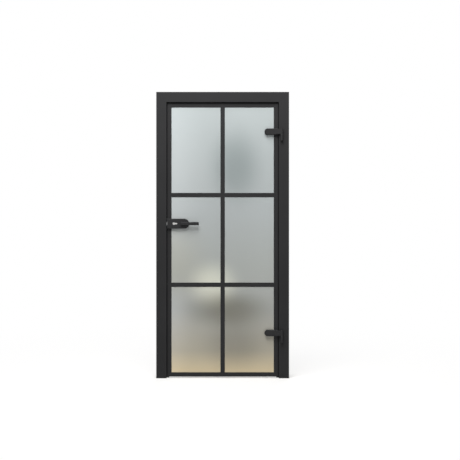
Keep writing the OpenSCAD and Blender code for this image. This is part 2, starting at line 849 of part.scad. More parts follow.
module strike_box() {
  x1 = -rb_x - strike_t;
  b = box_wall;
  color(fitting_black) difference() {
    slab(x1 - box_d, x1, box_y0, box_y1, box_z0, box_z1);
    slab(x1 - box_d + b, x1 + 1, box_y0 + b, box_y1 - b, box_z0 + b, box_z1 - b);
  }
}

module strike_screws() {
  color(bright_steel) strike_screw_places() cs_screw(strike_screw_d, strike_screw_l, socket_s);
}

// Hinge parts on the frame

module receiver_screw_places(hz) {
  z = knuckle_mid(hz);
  for (s = [-1, 1])
    translate([axis_x + receiver_screw_out, receiver_t, z + s * (peg_off + receiver_screw_end)])
      rotate([-90, 0, 0]) children();
}

// steel socket behind the casing that takes the pegs
module receiver(hz) {
  z = knuckle_mid(hz);
  x0 = lo_x + receiver_gap;
  flange = peg_off + receiver_end;
  block = peg_off + block_end;
  difference() {
    union() {
      slab(x0, axis_x + receiver_out, 0, receiver_t, z - flange, z + flange);
      slab(x0, axis_x + block_out, 0, stop_y, z - block, z + block);
    }
    peg_places(hz) rod_y(0, 0, peg_d + 2 * run_fit, -1, stop_y + 1);
    receiver_screw_places(hz) cs_hole(receiver_screw_d, receiver_t + 2, set_fit);
  }
}

module receiver_upper() {
  color(receiver_steel) receiver(hinge_hi);
}

module receiver_lower() {
  color(receiver_steel) receiver(hinge_lo);
}

module receiver_screws() {
  color(receiver_steel)
    for (hz = [hinge_lo, hinge_hi])
      receiver_screw_places(hz) cs_screw(receiver_screw_d, receiver_screw_l, socket_m);
}

// barrel with chamfered rims, its foot at z = 0
module barrel(d, h, c) {
  rotate_extrude() polygon([[0, 0], [d / 2 - c, 0], [d / 2, c], [d / 2, h - c], [d / 2 - c, h], [0, h]]);
}

module frame_knuckle(hz) {
  top = hz - clamp_r - washer_t;
  difference() {
    union() {
      translate([axis_x, axis_y, top - knuckle_h]) barrel(knuckle_d, knuckle_h, knuckle_rim);
      peg_places(hz) rod_y(0, 0, peg_d, axis_y, stop_y - peg_end);
      peg_places(hz) rod_y(0, 0, peg_d + peg_collar, axis_y, -casing_t);
    }
    translate([axis_x, axis_y, top - pin_in]) cylinder(d = pin_d + 2 * set_fit, h = pin_in + 1);
  }
}

module frame_knuckle_upper() {
  color(fitting_black) frame_knuckle(hinge_hi);
}

module frame_knuckle_lower() {
  color(fitting_black) frame_knuckle(hinge_lo);
}

module hinge_pin(hz) {
  foot = hz - clamp_r - washer_t - pin_in;
  top = hz + clamp_r - bush_top - pin_end;
  translate([axis_x, axis_y, foot]) barrel(pin_d, top - foot, pin_rim);
}

module hinge_pin_upper() {
  color(bright_steel) hinge_pin(hinge_hi);
}

module hinge_pin_lower() {
  color(bright_steel) hinge_pin(hinge_lo);
}

module hinge_washers() {
  color(dark_steel) for (hz = [hinge_lo, hinge_hi])
    translate([axis_x, axis_y, hz - clamp_r - washer_t]) difference() {
      cylinder(d = knuckle_d - 2 * washer_in, h = washer_t);
      translate([0, 0, -1]) cylinder(d = pin_d + 2 * part_gap, h = washer_t + 2);
    }
}

// Leaf

// section of the glass between its two faces, with ground edges
module arrised(half) {
  a = glass_arris;
  polygon([
    [-half, glass_y0 + a], [-half + a, glass_y0], [half - a, glass_y0], [half, glass_y0 + a],
    [half, glass_y1 - a], [half - a, glass_y1], [-half + a, glass_y1], [-half, glass_y1 - a]
  ]);
}

// notch for the lock, open at the free edge, with the round inner corners that glass needs
module notch_outline(grow) {
  h = notch_h + grow;
  r = notch_r;
  translate([edge_l - 1, lock_z - h]) square([notch_l + grow + 1 - r, 2 * h]);
  translate([edge_l - 1, lock_z - h + r]) square([notch_l + grow + 1, 2 * h - 2 * r]);
  for (s = [-1, 1]) translate([edge_l + notch_l + grow - r, lock_z + s * (h - r)]) circle(r);
}

module clamp_hole_places() {
  for (hz = [hinge_lo, hinge_hi], x = bore_x) translate([x, 0, hz]) children();
}

module glass_pane() {
  color(satin_glass) difference() {
    intersection() {
      translate([0, 0, leaf_z0]) linear_extrude(leaf_h) arrised(leaf_w / 2);
      translate([0, 0, (leaf_z0 + leaf_z1) / 2]) rotate([0, 90, 0])
        linear_extrude(leaf_w, center = true) arrised(leaf_h / 2);
    }
    through(glass_y0 - 1, glass_y1 + 1) notch_outline(0);
    clamp_hole_places() rod_y(0, 0, glass_hole_d, glass_y0 - 1, glass_y1 + 1);
  }
}

// section of a bonded bar, foot on y = 0
module bar_section() {
  w = bar_w / 2;
  b = bar_bevel;
  polygon([[-w, 0], [w, 0], [w, bar_t - b], [w - b, bar_t], [-w + b, bar_t], [-w, bar_t - b]]);
}

// upright bar on both faces of the glass
module upright_pair(x, z0, z1) {
  translate([x, glass_y1, z0]) linear_extrude(z1 - z0) bar_section();
  translate([x, glass_y0, z0]) linear_extrude(z1 - z0) mirror([0, 1]) bar_section();
}

// level bar on both faces of the glass
module level_pair(x0, x1, z) {
  translate([x1, glass_y1, z]) rotate([0, -90, 0]) linear_extrude(x1 - x0) bar_section();
  translate([x1, glass_y0, z]) rotate([0, -90, 0]) linear_extrude(x1 - x0) mirror([0, 1]) bar_section();
}

module border_bar_top() {
  color(bar_black) level_pair(edge_l, edge_h, leaf_z1 - bar_w / 2);
}

module border_bar_bottom() {
  color(bar_black) level_pair(edge_l, edge_h, leaf_z0 + bar_w / 2);
}

// the strip stops short of the lock covers
module border_bar_lock_side() {
  x = edge_l + bar_w / 2;
  color(bar_black) {
    upright_pair(x, leaf_z0 + bar_w, lock_z - cover_r - bar_gap);
    upright_pair(x, lock_z + cover_r + bar_gap, leaf_z1 - bar_w);
  }
}

// the strip stops short of the hinge clamps
module border_bar_hinge_side() {
  x = edge_h - bar_w / 2;
  c = clamp_r + bar_gap;
  color(bar_black) {
    upright_pair(x, leaf_z0 + bar_w, hinge_lo - c);
    upright_pair(x, hinge_lo + c, hinge_hi - c);
    upright_pair(x, hinge_hi + c, leaf_z1 - bar_w);
  }
}

module upright_bar() {
  color(bar_black) upright_pair(0, leaf_z0 + bar_w, leaf_z1 - bar_w);
}

module cross_bars(z) {
  level_pair(edge_l + bar_w, -bar_w / 2, z);
  level_pair(bar_w / 2, edge_h - bar_w, z);
}

module cross_bar_upper() {
  color(bar_black) cross_bars(cross_hi);
}

module cross_bar_lower() {
  color(bar_black) cross_bars(cross_lo);
}

// front clamp: rounded pad on the glass, an arm that steps over the casing, and the upper knuckle
module clamp_front(hz) {
  x0 = edge_h - arm_root;
  x1 = edge_h - clamp_in;
  front = axis_y - knuckle_d / 2;
  back = axis_y + knuckle_d / 2 - arm_skin;
  half = clamp_r - clamp_e - arm_edge;
  bore_end = pad_y0 - clamp_screw_in - clamp_screw_room;
  difference() {
    union() {
      translate([x1, pad_y0, hz]) mirror([1, 0, 0]) pad(clamp_l - clamp_in, clamp_r, clamp_t, clamp_e);
      translate([0, 0, hz - half]) linear_extrude(2 * half) polygon([
        [x0, pad_y0 - arm_back], [x1, pad_y0 - arm_back], [x1, back], [axis_x, back],
        [axis_x, front + arm_skin], [axis_x - arm_nose, front + arm_nose_in],
        [x0, pad_y0 - clamp_t + arm_root_in]
      ]);
      translate([axis_x, axis_y, hz - clamp_r]) barrel(knuckle_d, 2 * clamp_r, knuckle_rim);
    }
    translate([axis_x, axis_y, hz - clamp_r - 1])
      cylinder(d = bush_d + 2 * set_fit, h = 2 * clamp_r - bush_top + 1);
    for (x = bore_x)
      rod_y(x, hz, clamp_screw_d + 2 * set_fit, bore_end, pad_y0 + 1);
  }
}

module clamp_front_upper() {
  color(fitting_black) clamp_front(hinge_hi);
}

module clamp_front_lower() {
  color(fitting_black) clamp_front(hinge_lo);
}

// rear clamp plate, short enough to pass the stop
module clamp_rear(hz) {
  difference() {
    translate([plate_end, pad_y1, hz]) mirror([0, 1, 0]) mirror([1, 0, 0])
      pad(plate_end - edge_h + clamp_l, clamp_r, plate_t, plate_e);
    for (x = bore_x) translate([x, pad_y1 + plate_t, hz]) rotate([-90, 0, 0])
      cs_hole(clamp_screw_d, plate_t + 1, set_fit);
  }
}

module clamp_rear_upper() {
  color(fitting_black) clamp_rear(hinge_hi);
}

module clamp_rear_lower() {
  color(fitting_black) clamp_rear(hinge_lo);
}

module clamp_gaskets() {
  g = gasket_in;
  color(gasket_black) for (hz = [hinge_lo, hinge_hi]) {
    difference() {
      through(pad_y0, glass_y0) translate([edge_h - clamp_in - g, hz]) mirror([1, 0])
        pad_outline(clamp_l - clamp_in - 2 * g, clamp_r - g);
      for (x = bore_x) rod_y(x, hz, glass_hole_d, pad_y0 - 1, glass_y0 + 1);
    }
    difference() {
      through(glass_y1, pad_y1) translate([plate_end - g, hz]) mirror([1, 0])
        pad_outline(plate_end - edge_h + clamp_l - 2 * g, clamp_r - g);
      for (x = bore_x) rod_y(x, hz, glass_hole_d, glass_y1 - 1, pad_y1 + 1);
    }
  }
}

module clamp_sleeves() {
  color(pale_nylon) clamp_hole_places() difference() {
    rod_y(0, 0, glass_hole_d - 2 * part_gap, pad_y0 + close_gap, pad_y1 - close_gap);
    rod_y(0, 0, clamp_screw_d + 2 * part_gap, pad_y0 - 1, pad_y1 + 1);
  }
}

module clamp_screws() {
  len = plate_t + pad_y1 - pad_y0 + clamp_screw_in;
  color(screw_black) clamp_hole_places()
    translate([0, pad_y1 + plate_t, 0]) rotate([-90, 0, 0]) cs_screw(clamp_screw_d, len, socket_xl);
}

module hinge_bushes() {
  color(pale_nylon) for (hz = [hinge_lo, hinge_hi])
    translate([axis_x, axis_y, hz - clamp_r]) difference() {
      cylinder(d = bush_d, h = 2 * clamp_r - bush_top - bush_end);
      translate([0, 0, -1]) cylinder(d = pin_d + 2 * run_fit, h = 2 * clamp_r);
    }
}

// Lock

// euro-profile cylinder hole lying on its side: round part toward the free edge, tail inward
module cylinder_outline(grow) {
  r = cyl_w / 2 + grow;
  translate([cyl_x, lock_z]) {
    circle(cyl_d / 2 + grow);
    translate([0, -r]) square([cyl_tail, 2 * r]);
    translate([cyl_tail, 0]) circle(r);
  }
}

// hollow cover drawn with its foot on y = 0 and its flat end at x = 0
module cover_shell(l) {
  w = cover_wall;
  difference() {
    pad(l, cover_r, cover_t, cover_e);
    translate([w, 1, 0]) pad(l - 2 * w, cover_r - w, cover_t - w + 1, cover_e - cover_e_in);
  }
}

module lock_cover_front() {
  color(fitting_black) difference() {
    union() {
      translate([edge_l, pad_y0, lock_z]) cover_shell(cover_l);
      for (p = lock_bolts)
        rod_y(p[0], lock_z + p[1], front_post_d, cover_y0 + cover_wall - post_in, case_y0);
    }
    slab(edge_l - 1, edge_l + cover_wall + 1, case_y0 - part_gap, pad_y0 + 1,
      lock_z - case_h - part_gap, lock_z + case_h + part_gap);
    through(cover_y0 - 1, pad_y0 + 1) cylinder_outline(0);
    rod_y(hub_x, lock_z, lever_bush_d + 2 * set_fit, cover_y0 - 1, cover_y0 + cover_wall + 1);
    for (p = lock_bolts)
      rod_y(p[0], lock_z + p[1], lock_screw_d + 2 * set_fit, cover_y0 + lock_screw_skin, case_y0 + 1);
  }
}

module lock_cover_rear() {
  color(fitting_black) difference() {
    union() {
      translate([edge_l + cover_back, pad_y1, lock_z]) mirror([0, 1, 0]) cover_shell(cover_l - cover_back);
      for (p = lock_bolts)
        rod_y(p[0], lock_z + p[1], rear_post_d, case_y1, cover_y1 - cover_wall + post_in);
    }
    slab(edge_l, edge_l + cover_back + cover_wall + 1, pad_y1 - 1, case_y1 + part_gap,
      lock_z - case_h - part_gap, lock_z + case_h + part_gap);
    through(pad_y1 - 1, cover_y1 + 1) cylinder_outline(0);
    rod_y(hub_x, lock_z, lever_bush_d + 2 * set_fit, cover_y1 - cover_wall - 1, cover_y1 + 1);
    for (p = lock_bolts) translate([p[0], cover_y1, lock_z + p[1]]) rotate([-90, 0, 0])
      cs_hole(lock_screw_d, cover_t + 2, set_fit);
  }
}

// gasket between a cover and the glass, open at the free edge
module lock_gaskets() {
  g = gasket_in;
  color(gasket_black) {
    through(pad_y0, glass_y0) difference() {
      translate([edge_l + g, lock_z]) pad_outline(cover_l - 2 * g, cover_r - g);
      notch_outline(part_gap);
    }
    through(glass_y1, pad_y1) difference() {
      translate([edge_l + cover_back + g, lock_z]) pad_outline(cover_l - cover_back - 2 * g, cover_r - g);
      notch_outline(part_gap);
    }
  }
}

// outline of the lock case in X and Z: square at the free edge, round at the inner corners
module case_outline(inset) {
  h = case_h - inset;
  r = case_r - inset;
  x1 = case_x1 - inset;
  translate([case_x0, lock_z - h]) square([x1 - r - case_x0, 2 * h]);
  translate([case_x0, lock_z - h + r]) square([x1 - case_x0, 2 * h - 2 * r]);
  for (s = [-1, 1]) translate([x1 - r, lock_z + s * (h - r)]) circle(r);
}

// holes that run through both sheets of the lock case
module case_holes() {
  through(case_y0 - 1, case_y1 + 1) cylinder_outline(0);
  for (p = lock_bolts)
    rod_y(p[0], lock_z + p[1], lock_screw_d + 2 * set_fit, case_y0 - 1, case_y1 + 1);
  rod_y(hub_x, lock_z, journal_d + 2 * run_fit, case_y0 - 1, case_y1 + 1);
}

module lock_case() {
  w = case_wall;
  color(zinc_steel) difference() {
    union() {
      difference() {
        through(case_y0 + w, case_y1) case_outline(0);
        through(case_y0, case_y1 - w) case_outline(w);
        slab(case_x0 - 1, case_x0 + 1, case_y0, case_y1 - w, lock_z - case_h + w, lock_z + case_h - w);
      }
      for (p = lock_bolts) rod_y(p[0], lock_z + p[1], case_post_d, case_y0 + w, case_y1 - case_post_end);
    }
    case_holes();
    cylinder_screw_place() cs_hole(cyl_screw_d, case_h - cyl_w / 2, set_fit);
  }
}

module lock_lid() {
  color(zinc_steel) difference() {
    through(case_y0, case_y0 + case_wall) case_outline(0);
    case_holes();
  }
}

module lock_forend() {
  p = bolt_play;
  y0 = case_yc - bolt_t / 2 - p;
  y1 = case_yc + bolt_t / 2 + p;
  color(bright_steel) difference() {
    slab(edge_l, case_x0, case_y0, case_y1, lock_z - case_h, lock_z + case_h);
    slab(edge_l - 1, case_x0 + 1, y0, y1, lock_z - latch_dn - p, lock_z + latch_up + p);
    slab(edge_l - 1, case_x0 + 1, y0, y1, lock_z - bolt_dn - p, lock_z - bolt_up + p);
  }
}

module lock_screws() {
  len = cover_y1 - cover_y0 - 2 * lock_screw_skin;
  color(screw_black) for (p = lock_bolts)
    translate([p[0], cover_y1, lock_z + p[1]]) rotate([-90, 0, 0])
      cs_screw(lock_screw_d, len, socket_l);
}

// place of the screw that runs up from the case's lower edge into the cylinder's tail
module cylinder_screw_place() {
  translate([cyl_x + cyl_tail, case_yc, lock_z - case_h]) rotate([180, 0, 0]) children();
}

// euro-profile cylinder, cut across for the cam; its tail is the bridge between the two halves
module cylinder_body() {
  gap = cam_t / 2 + part_gap;
  color(cylinder_nickel) difference() {
    through(cyl_y0, cyl_y1) cylinder_outline(-cyl_play);
    rod_y(cyl_x, lock_z, plug_d + 2 * run_fit, cyl_y0 - 1, cyl_y1 + 1);
    rod_y(cyl_x, lock_z, cyl_d + 2, case_yc - gap, case_yc + gap);
    cylinder_screw_place() cs_hole(cyl_screw_d, case_h + cyl_screw_in + screw_room, set_fit);
  }
}

module cylinder_screw() {
  color(bright_steel) cylinder_screw_place() cs_screw(cyl_screw_d, case_h + cyl_screw_in, socket_m);
}

// the two plugs that the key turns, each with its keyway
module cylinder_plugs() {
  color(plug_nickel) difference() {
    union() {
      rod_y(cyl_x, lock_z, plug_d, cyl_y0 + plug_in, case_yc - cam_t / 2);
      rod_y(cyl_x, lock_z, plug_d, case_yc + cam_t / 2, cyl_y1 - plug_in);
    }
    translate([cyl_x, 0, lock_z]) {
      slab(-key_h / 2, key_h / 2, cyl_y0 - 1, cyl_y0 + key_d, -key_w / 2, key_w / 2);
      slab(-key_h / 2, key_h / 2, cyl_y1 - key_d, cyl_y1 + 1, -key_w / 2, key_w / 2);
    }
  }
}

// ring on the plugs, with the finger that drives the dead bolt
module cylinder_cam() {
  color(plug_nickel) through(case_yc - cam_t / 2, case_yc + cam_t / 2) translate([cyl_x, lock_z]) {
    circle(cam_ring / 2);
    rotate(cam_rest) translate([-cam_w / 2, -cam_r]) square([cam_w, cam_r]);
  }
}

// collar that the lever's neck turns in
module lever_bush_front() {
  y0 = cover_y0 - lever_bush_out;
  y1 = cover_y0 + cover_wall + neck_in;
  difference() {
    rod_y(hub_x, lock_z, lever_bush_d, y0, y1);
    rod_y(hub_x, lock_z, neck_d + 2 * run_fit, y0 - 1, y1 + 1);
  }
}

// mirror a front piece onto the rear face of the lock
module to_rear() {
  translate([0, 2 * mid_y, 0]) mirror([0, 1, 0]) children();
}

module lever_bushes() {
  color(screw_black) {
    lever_bush_front();
    to_rear() lever_bush_front();
  }
}

// Levers

// rectangle between two corners with four round corners
module round_rect(x0, x1, y0, y1, r) {
  translate([x0 + r, y0]) square([x1 - x0 - 2 * r, y1 - y0]);
  translate([x0, y0 + r]) square([x1 - x0, y1 - y0 - 2 * r]);
  for (x = [x0 + r, x1 - r], y = [y0 + r, y1 - r]) translate([x, y]) circle(r);
}

// the lever bar from above: both ends turn back toward the door
module lever_plan() {
  translate([bar_x0, bar_y0 + lever_end]) square([bar_x1 - bar_x0, lever_t - lever_end]);
  translate([bar_x0 + lever_end, bar_y0]) square([bar_x1 - bar_x0 - 2 * lever_end, lever_t]);
  for (x = [bar_x0 + lever_end, bar_x1 - lever_end]) translate([x, bar_y0 + lever_end]) circle(lever_end);
}

// flat lever bar close to the cover, on a round neck, with a socket for the spindle
module lever() {
  a = spindle_a / 2 + set_fit;
  h = lever_h / 2;
  neck_y = cover_y0 + cover_wall + neck_in;
  difference() {
    union() {
      intersection() {
        along(bar_x0 - 1, bar_x1 + 1) round_rect(bar_y0, bar_y1, lock_z - h, lock_z + h, lever_e);
        through(bar_y0 - 1, bar_y1 + 1) round_rect(bar_x0, bar_x1, lock_z - h, lock_z + h, lever_corner);
        translate([0, 0, lock_z - lever_h]) linear_extrude(2 * lever_h) lever_plan();
      }
      rod_y(hub_x, lock_z, neck_d, bar_y1 - 1, neck_y);
    }
    slab(hub_x - a, hub_x + a, bar_y0 + socket_wall, neck_y + 1, lock_z - a, lock_z + a);
    translate([hub_x, grub_y, lock_z - h - 1]) cylinder(d = grub_d + 2 * set_fit, h = h);
  }
}

module lever_front() {
  color(fitting_black) lever();
}

module lever_rear() {
  color(fitting_black) to_rear() lever();
}

module spindle() {
  a = spindle_a / 2;
  y0 = bar_y0 + socket_wall + spindle_play;
  color(zinc_steel)
    slab(hub_x - a, hub_x + a, y0, 2 * mid_y - y0, lock_z - a, lock_z + a);
}

module grub_screw() {
  a = spindle_a / 2;
  translate([hub_x, grub_y, lock_z - lever_h / 2 + grub_in]) difference() {
    cylinder(d = grub_d, h = lever_h / 2 - grub_in - a - run_fit);
    translate([0, 0, -1]) cylinder(d = grub_socket, h = grub_socket_l + 1, $fn = 6);
  }
}

module lever_grub_screws() {
  color(dark_steel) {
    grub_screw();
    to_rear() grub_screw();
  }
}

// hub on the spindle, with an arm up to the latch tail
module follower() {
  a = spindle_a / 2 + set_fit;
  y0 = case_y0 + case_wall + follower_play;
  y1 = case_y1 - case_wall - follower_play;
  root = follower_arm_w / 2;
  tip = follower_tip_r - follower_tip_in;
  color(follower_steel) difference() {
    union() {
      rod_y(hub_x, lock_z, follower_d, y0, y1);
      rod_y(hub_x, lock_z, journal_d, case_y0, case_y1);
      through(y0, case_yc + follower_arm_back) translate([hub_x, lock_z]) {
        polygon([[-root, 0], [root, 0], [tip, arm_r], [-tip, arm_r]]);
        translate([0, arm_r]) circle(follower_tip_r);
      }
    }
    slab(hub_x - a, hub_x + a, case_y0 - 1, case_y1 + 1, lock_z - a, lock_z + a);
  }
}

// latch: bevelled head at the free edge, a riser, and a tail that the follower arm draws back
module latch_bolt() {
  t = bolt_t / 2;
  tip = edge_l - latch_out;
  head_x = edge_l + latch_head;
  riser_x = edge_l + riser_in;
  tail_x = hub_x + follower_tip_r + tail_play;
  tail_x1 = tail_x + tail_t;
  tail_z0 = lock_z + arm_r - tail_dn;
  tail_z1 = lock_z + arm_r + tail_up;
  color(bolt_steel) {
    translate([0, case_yc, lock_z - latch_dn]) linear_extrude(latch_up + latch_dn) polygon([
      [head_x, -t], [head_x, t], [tip + latch_bevel, t], [tip, -t + latch_tip], [tip, -t]
    ]);
    slab(riser_x, head_x, case_yc - t, case_yc + t, lock_z + latch_up - 1, tail_z1);
    slab(riser_x, tail_x1, case_yc + tail_back, case_yc + t, tail_z0, tail_z1);
    slab(tail_x, tail_x1, case_yc - t, case_yc + t, tail_z0, tail_z1);
  }
}

// dead bolt, drawn back, with the notch that the cylinder's cam works in
module dead_bolt() {
  t = bolt_t / 2;
  notch_x0 = cyl_x + bolt_throw / 2 - bolt_notch_w / 2;
  notch_x1 = notch_x0 + bolt_notch_w;
  top = lock_z - bolt_up;
  color(bolt_steel) difference() {
    slab(edge_l + bolt_in, notch_x1 + bolt_tail, case_yc - t, case_yc + t, lock_z - bolt_dn, top);
    slab(notch_x0, notch_x1, case_yc - t - 1, case_yc + t + 1, top - bolt_notch_d, top + 1);
  }
}

strike_lining();
hinge_lining();
head_lining();
front_casing_strike();
front_casing_hinge();
front_casing_head();
rear_casing_strike();
rear_casing_hinge();
rear_casing_head();
seal_strike();
seal_hinge();
seal_head();
corner_screws();
strike_plate();
strike_box();
strike_screws();
receiver_upper();
receiver_lower();
receiver_screws();
frame_knuckle_upper();
frame_knuckle_lower();
hinge_pin_upper();
hinge_pin_lower();
hinge_washers();
glass_pane();
border_bar_top();
border_bar_bottom();
border_bar_lock_side();
border_bar_hinge_side();
upright_bar();
cross_bar_upper();
cross_bar_lower();
clamp_front_upper();
clamp_front_lower();
clamp_rear_upper();
clamp_rear_lower();
clamp_gaskets();
clamp_sleeves();
clamp_screws();
hinge_bushes();
lock_cover_front();
lock_cover_rear();
lock_gaskets();
lock_case();
lock_lid();
lock_forend();
lock_screws();
lever_bushes();
cylinder_body();
cylinder_screw();
cylinder_plugs();
cylinder_cam();
lever_front();
lever_rear();
spindle();
follower();
lever_grub_screws();
latch_bolt();
dead_bolt();
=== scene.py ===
"""Looks of a satin glass door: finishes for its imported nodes, the bond beads along its grid
and a studio around it."""

import math

import bmesh
import bpy
import numpy as np
from bpy.props import FloatProperty, FloatVectorProperty, PointerProperty
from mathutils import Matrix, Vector


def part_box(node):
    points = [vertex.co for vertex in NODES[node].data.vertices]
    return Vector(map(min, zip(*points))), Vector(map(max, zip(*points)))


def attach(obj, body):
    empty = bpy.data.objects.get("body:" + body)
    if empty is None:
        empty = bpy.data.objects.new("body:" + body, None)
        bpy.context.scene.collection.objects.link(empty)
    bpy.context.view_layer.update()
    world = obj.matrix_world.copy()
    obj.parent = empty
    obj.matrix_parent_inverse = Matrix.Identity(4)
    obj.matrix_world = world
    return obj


bl_info = {
    "name": "Glass door looks",
    "version": (1, 0, 0),
    "blender": (4, 5, 0),
    "location": "3D View > Sidebar > Glass door",
    "description": "Finishes of a satin glass door with a black grid, and the studio around it",
    "category": "Object",
}

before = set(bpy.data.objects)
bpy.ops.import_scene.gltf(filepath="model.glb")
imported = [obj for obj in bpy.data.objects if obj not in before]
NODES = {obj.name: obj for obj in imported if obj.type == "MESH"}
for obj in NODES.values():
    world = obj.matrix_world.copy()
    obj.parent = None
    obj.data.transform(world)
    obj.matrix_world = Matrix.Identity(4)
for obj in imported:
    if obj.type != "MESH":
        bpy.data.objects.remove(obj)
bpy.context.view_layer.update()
GLASS_LOW, GLASS_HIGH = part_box("glass_pane")
CASING_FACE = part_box("front_casing_head")[0].y

# Nodes that share a finish.
FRAME_UPRIGHTS = ("strike_lining", "hinge_lining", "front_casing_strike", "front_casing_hinge",
                  "rear_casing_strike", "rear_casing_hinge")
FRAME_HEADS = ("head_lining", "front_casing_head", "rear_casing_head")
SEALS = ("seal_strike", "seal_hinge", "seal_head")
UPRIGHT_BARS = ("border_bar_lock_side", "border_bar_hinge_side", "upright_bar")
LEVEL_BARS = ("border_bar_top", "border_bar_bottom", "cross_bar_upper", "cross_bar_lower")
HINGE_CASTINGS = ("clamp_front_upper", "clamp_front_lower", "clamp_rear_upper", "clamp_rear_lower",
                  "frame_knuckle_upper", "frame_knuckle_lower")
HINGE_STEEL = ("hinge_pin_upper", "hinge_pin_lower", "receiver_upper", "receiver_lower",
               "receiver_screws", "corner_screws")
LOCK_COVERS = ("lock_cover_front", "lock_cover_rear")
LOCK_STEEL = ("lock_case", "lock_lid", "lock_forend", "latch_bolt", "dead_bolt", "strike_plate",
              "strike_screws", "cylinder_screw")
CYLINDER = ("cylinder_body", "cylinder_plugs", "cylinder_cam")

# The fittings on each face of the glass that the bond beads stop at.
FRONT_FITTINGS = ("lock_cover_front", "clamp_front_upper", "clamp_front_lower")
REAR_FITTINGS = ("lock_cover_rear", "clamp_rear_upper", "clamp_rear_lower")

# How the fine grain of a finish is scaled along x, y and z: a low scale draws it out that way.
EVEN_GRAIN = (1, 1, 1)
UPRIGHT_BOARD_GRAIN = (1, 1, 0.05)
LEVEL_BOARD_GRAIN = (0.05, 1, 1)
UPRIGHT_BAR_GRAIN = (1, 1, 0.02)
LEVEL_BAR_GRAIN = (0.02, 1, 1)
CYLINDER_GRAIN = (0.1, 1, 1)
STEEL_GRAIN = (1, 1, 6)

# The slow noise that the colour of a finish drifts by, and the fine noise of its grain.
CLOUD_SCALE = 2.6
CLOUD_DETAIL = 3.0
CLOUD_ROUGHNESS = 0.55
GRAIN_DETAIL = 2.0
GRAIN_STRENGTH = 0.5

# Nearly all values of a noise lie between these two.
NOISE_LOW = 0.3
NOISE_HIGH = 0.7

# Colour of the satin glass at heights above the floor: its own tint, with painted light and shade of what
# is seen through it, warm at the foot. The soft patches on it are painted light and shade: the middle and
# the reach of each as (across, up), and the tint that it multiplies the colour by.
GLASS_TINT_AND_PAINTED_LIGHT = ((0.02, (0.72, 0.60, 0.38)), (0.2, (0.43, 0.40, 0.32)), (0.5, (0.39, 0.40, 0.38)),
               (0.8, (0.40, 0.42, 0.40)), (1.2, (0.41, 0.44, 0.44)), (2.0, (0.40, 0.44, 0.44)))
GLASS_PAINTED_LIGHT_PATCHES = {"dim_middle": ((0.0, 1.0), (0.45, 1.6), (0.94, 0.94, 0.94)),
                 "pale_side": ((-0.55, 1.55), (0.6, 1.2), (1.28, 1.26, 1.27)),
                 "dim_upper": ((0.1, 1.55), (0.28, 0.4), (0.66, 0.69, 0.69)),
                 "warm_side": ((-0.38, 0.85), (0.4, 0.4), (1.01, 0.98, 0.92)),
                 "pale_low": ((-0.07, 0.68), (0.26, 0.24), (1.7, 1.65, 1.5)),
                 "dim_low": ((0.05, 0.5), (0.45, 0.2), (0.55, 0.53, 0.47)),
                 "dim_foot": ((0.1, 0.25), (0.35, 0.3), (0.70, 0.70, 0.70)),
                 "pale_foot": ((-0.45, 0.33), (0.3, 0.6), (1.3, 1.3, 1.35))}

# The fine frost that the etching leaves on the glass, and its polished edges.
FROST_SCALE = 1800.0
FROST_DETAIL = 3.0
FROST_SWING = 0.05
FROST_STRENGTH = 0.3
FROST_RELIEF = 0.00003
POLISHED_ROUGHNESS = 0.15
GLASS_IOR = 1.5

# The studio. A floor spot is the scale that sets its reach along x, y and z, and its share of light.
WHITE = (1, 1, 1, 1)
FLOOR_HALF = 9
FLOOR_SHOWN = (0.82, 0.805, 0.79, 1)
FLOOR_THROWN_BACK = (0.62, 0.62, 0.62, 1)
FLOOR_ROUND_DOOR = ((0.3, 0.3, 0.3), 0.35)
FLOOR_UNDER_LEAF = ((0.4, 5.0, 5.0), 0.65)
LAMP_WIDTH = 3.0
LAMP_HEIGHT = 2.4
LAMP_TARGET = (0, 0, 1.05)
KEY_PLACE = (-0.5, -2.1, 4.7)
BACK_PLACE = (0.6, 3.2, 3.6)
SENSOR_WIDTH = 36.0

# A Mix node's sockets go by number, because their names repeat for numbers and colours.
MIX_SHARE = 0
MIX_NUMBERS = (2, 3)
MIX_COLOURS = (6, 7)
MIX_COLOUR_RESULT = 2


class DoorFinish(bpy.types.PropertyGroup):
    """Colours of the black and bare parts, and the roughness of the lacquer."""

    frame_black: FloatVectorProperty(
        name="Frame lacquer", description="Colour of the lacquered frame",
        subtype="COLOR", size=3, min=0, max=1, default=(0.0225, 0.0225, 0.0232))
    bar_black: FloatVectorProperty(
        name="Bars", description="Colour of the anodised bars",
        subtype="COLOR", size=3, min=0, max=1, default=(0.0222, 0.0222, 0.0229))
    fitting_black: FloatVectorProperty(
        name="Fittings", description="Colour of the powder coat on lock and hinges",
        subtype="COLOR", size=3, min=0, max=1, default=(0.0222, 0.0222, 0.0229))
    rubber_black: FloatVectorProperty(
        name="Rubber", description="Colour of seals, gaskets and bond beads",
        subtype="COLOR", size=3, min=0, max=1, default=(0.012, 0.012, 0.012))
    steel_grey: FloatVectorProperty(
        name="Steel", description="Colour of the bare steel parts",
        subtype="COLOR", size=3, min=0, max=1, default=(0.56, 0.565, 0.57))
    nickel: FloatVectorProperty(
        name="Nickel", description="Colour of the satin nickel lock cylinder",
        subtype="COLOR", size=3, min=0, max=1, default=(0.58, 0.575, 0.56))
    nylon_white: FloatVectorProperty(
        name="Nylon", description="Colour of the bushes and sleeves",
        subtype="COLOR", size=3, min=0, max=1, default=(0.66, 0.65, 0.61))
    lacquer_roughness: FloatProperty(
        name="Lacquer roughness", description="Roughness of the frame's lacquer",
        subtype="FACTOR", min=0, max=1, default=0.55)


